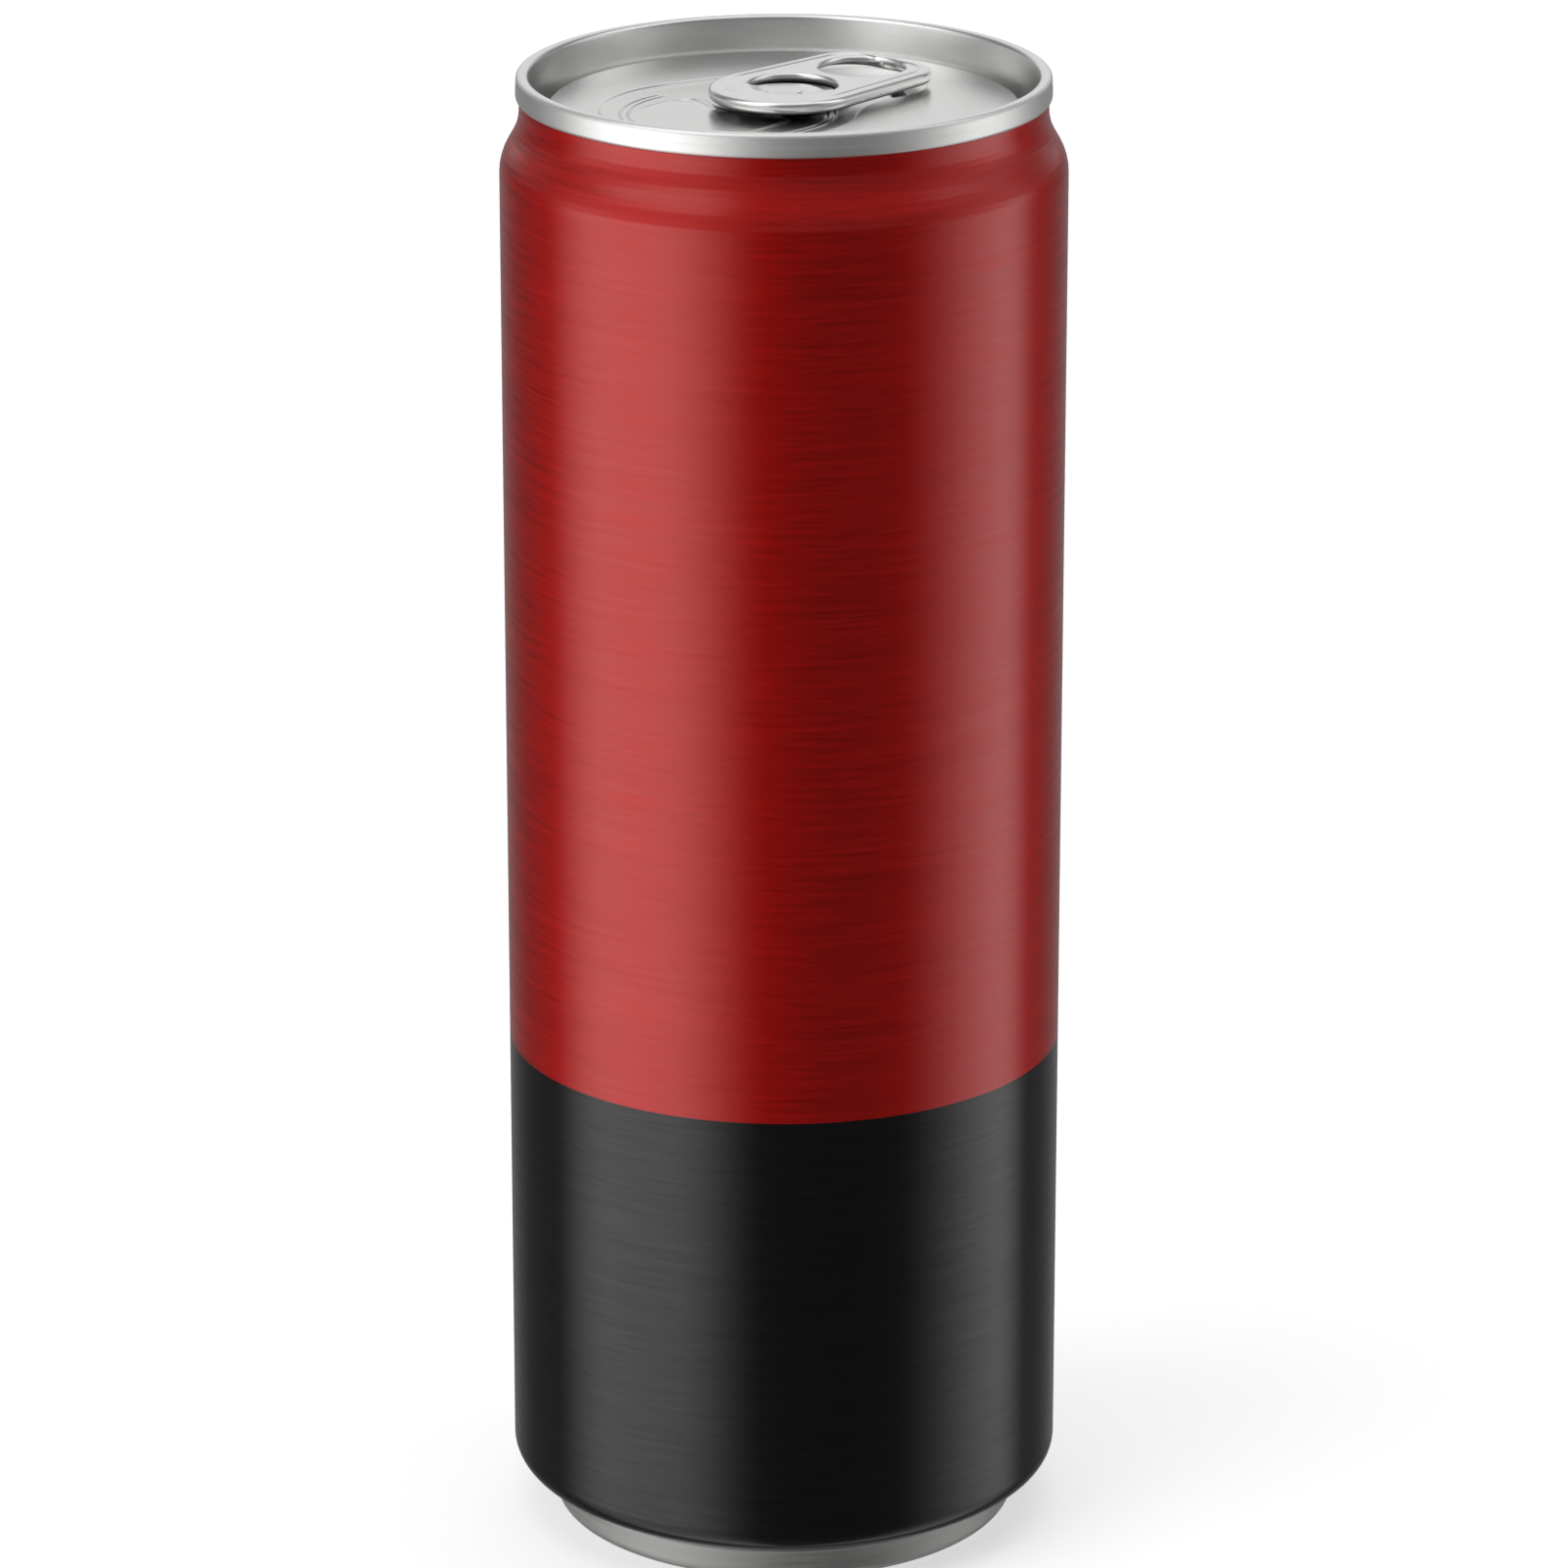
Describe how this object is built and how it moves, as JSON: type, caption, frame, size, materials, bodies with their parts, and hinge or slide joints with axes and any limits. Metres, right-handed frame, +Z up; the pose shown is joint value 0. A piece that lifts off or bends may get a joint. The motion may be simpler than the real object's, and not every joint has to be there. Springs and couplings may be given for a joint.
{
  "type": "slim drink can",
  "caption": "Slim shut drink can of drawn aluminium with a necked shoulder, a seamed end and a stay-on pull tab; stands on its foot ring.",
  "frame": {"origin": "centre of the foot ring on the plane the can stands on", "axes": "+Z up the can's axis, -Y towards the side that the tab's nose leans to, +X to the right seen from there"},
  "size_m": [0.0574, 0.0574, 0.1546],
  "materials": {
    "painted_wall": "satin translucent red lacquer over brushed aluminium, black lower band, bare foot",
    "bare_end": "satin rolled aluminium",
    "bare_tab": "satin aluminium with bright curled edges"
  },
  "bodies": {
    "root": {"can_body": "painted_wall", "can_end": "bare_end", "pull_tab": "bare_tab"}
  },
  "joints": []
}
